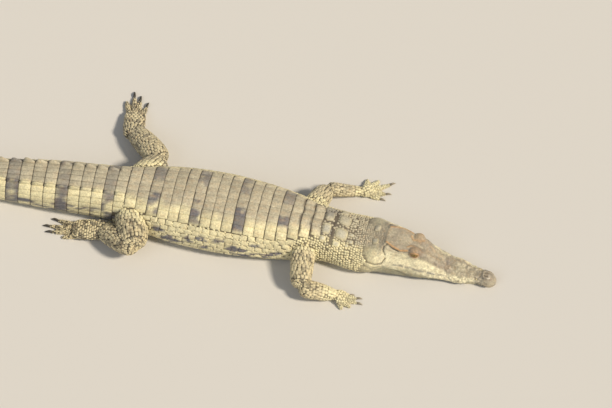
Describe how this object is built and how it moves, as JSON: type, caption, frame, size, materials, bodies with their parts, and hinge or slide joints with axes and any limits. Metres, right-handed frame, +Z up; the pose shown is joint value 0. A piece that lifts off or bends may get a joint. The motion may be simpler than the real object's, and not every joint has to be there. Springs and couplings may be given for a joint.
{
  "type": "nile crocodile model",
  "caption": "Still, life-size model of a young nile crocodile, flat on its belly with legs spread, keeled scales, crested tail, claws and a closed, toothed mouth.",
  "frame": {"origin": "on the floor, under the middle of the whole outline", "axes": "+X along the animal towards the snout, +Y towards its left side, +Z up"},
  "size_m": [2.0256, 0.6829, 0.1372],
  "materials": {
    "head_skin": "satin, fine-grained hide close over bone, pale yellow-grey with brown-grey top",
    "trunk_skin": "matt to satin keeled scales, grey-beige above and cream below with dark bands",
    "tail_skin": "matt to satin ringed scales with crests, grey-beige with dark bands",
    "leg_skin": "matt small scales, yellow-cream with dense dark speckles",
    "eye": "polished, wet",
    "claw_horn": "satin horn"
  },
  "bodies": {
    "root": {"belly": "trunk_skin", "chest": "trunk_skin", "claw_front_left_1": "claw_horn", "claw_front_left_2": "claw_horn", "claw_front_left_3": "claw_horn", "claw_front_right_1": "claw_horn", "claw_front_right_2": "claw_horn", "claw_front_right_3": "claw_horn", "claw_rear_left_1": "claw_horn", "claw_rear_left_2": "claw_horn", "claw_rear_left_3": "claw_horn", "claw_rear_right_1": "claw_horn", "claw_rear_right_2": "claw_horn", "claw_rear_right_3": "claw_horn", "eye_left": "eye", "eye_right": "eye", "foot_rear_left": "leg_skin", "foot_rear_right": "leg_skin", "forearm_front_left": "leg_skin", "forearm_front_right": "leg_skin", "hand_front_left": "leg_skin", "hand_front_right": "leg_skin", "lower_jaw": "head_skin", "neck": "trunk_skin", "shank_rear_left": "leg_skin", "shank_rear_right": "leg_skin", "skull": "head_skin", "tail_1": "tail_skin", "tail_2": "tail_skin", "tail_3": "tail_skin", "tail_4": "tail_skin", "thigh_rear_left": "leg_skin", "thigh_rear_right": "leg_skin", "upper_arm_front_left": "leg_skin", "upper_arm_front_right": "leg_skin"}
  },
  "joints": []
}
